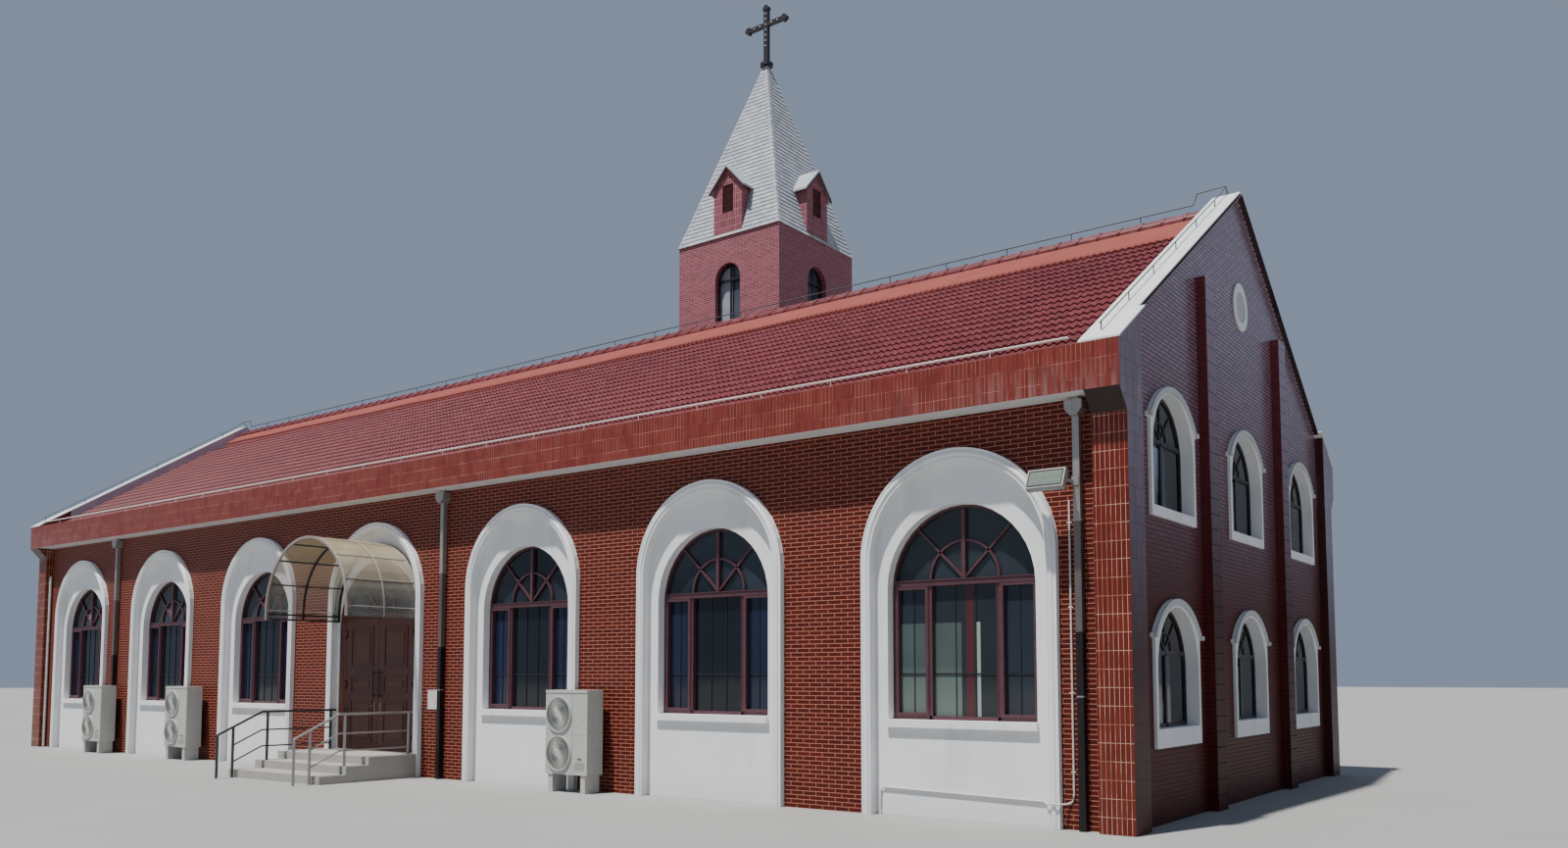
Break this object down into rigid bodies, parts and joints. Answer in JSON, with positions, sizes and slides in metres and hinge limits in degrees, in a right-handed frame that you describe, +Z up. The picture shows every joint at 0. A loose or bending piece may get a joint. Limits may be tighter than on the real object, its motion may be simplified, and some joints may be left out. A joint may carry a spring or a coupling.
{
  "type": "church building",
  "caption": "Brick church building with arched windows, a canopied double door, a gabled tile roof and a square bell tower with a pointed spire and cross.",
  "frame": {"origin": "centre of the footprint's box, at ground level", "axes": "+X along the nave, +Y from the entrance front towards the tower side, +Z up"},
  "size_m": [34.7, 19.268, 24.45],
  "materials": {
    "front_brick": "matt red brick",
    "gable_brick": "matt brown-purple brick",
    "wall_tile": "semi-matt red facing tile",
    "roof_tile": "dark red wavy tile",
    "ridge_tile": "matt",
    "white_coping": "painted",
    "spire_shingle": "grey shingle",
    "painted_iron": "dark painted",
    "door_wood": "dark brown satin",
    "window_glass": "clear",
    "canopy_sheet": "bronze translucent sheet",
    "rail_steel": "brushed",
    "grey_metal": "painted",
    "cream_metal": "painted",
    "stone": "matt concrete"
  },
  "bodies": {
    "building": {"nave_floor": "stone", "entrance_steps": "stone", "front_wall_left": "front_brick", "front_wall_right": "front_brick", "front_wall_over_door": "front_brick", "back_wall_left": "front_brick", "back_wall_right": "front_brick", "tower_wall_front": "front_brick", "tower_wall_back": "front_brick", "tower_wall_left": "front_brick", "tower_wall_right": "front_brick", "gable_wall_left": "gable_brick", "gable_wall_right": "gable_brick", "corner_pier_front_left": "wall_tile", "corner_pier_front_right": "wall_tile", "corner_pier_back_left": "wall_tile", "corner_pier_back_right": "wall_tile", "front_fascia": "wall_tile", "back_fascia_left": "wall_tile", "back_fascia_right": "wall_tile", "roof_front": "roof_tile", "roof_back": "roof_tile", "ridge_cap": "ridge_tile", "gable_coping_left": "white_coping", "gable_coping_right": "white_coping", "spire": "spire_shingle", "cross": "painted_iron", "canopy_frame": "painted_iron", "door_frame": "door_wood", "fanlight_glass": "window_glass", "front_glass_left": "window_glass", "front_glass_right": "window_glass", "back_glass_left": "window_glass", "back_glass_right": "window_glass", "gable_glass_left_lower": "window_glass", "gable_glass_left_upper": "window_glass", "gable_glass_right_lower": "window_glass", "gable_glass_right_upper": "window_glass", "tower_glass_front": "window_glass", "tower_glass_right": "window_glass", "tower_glass_back": "window_glass", "tower_glass_left": "window_glass", "canopy_cover": "canopy_sheet", "handrail_left": "rail_steel", "handrail_right": "rail_steel", "downspout_left": "grey_metal", "downspout_middle": "grey_metal", "downspout_right": "grey_metal", "floodlight": "grey_metal", "cooling_unit_left": "cream_metal", "cooling_unit_middle": "cream_metal", "cooling_unit_right": "cream_metal"},
    "door_leaf_left": {"door_leaf_left": "door_wood", "door_pull_left": "painted_iron"},
    "door_leaf_right": {"door_leaf_right": "door_wood", "door_pull_right": "painted_iron"}
  },
  "joints": [
    {"name": "door_left_hinge", "type": "hinge", "parent": "building", "child": "door_leaf_left", "pos_m": [-1.247, -6.766, 2], "axis": [0, 0, -1], "range_deg": [0, 90]},
    {"name": "door_right_hinge", "type": "hinge", "parent": "building", "child": "door_leaf_right", "pos_m": [1.247, -6.766, 2], "axis": [0, 0, 1], "range_deg": [0, 90]}
  ]
}
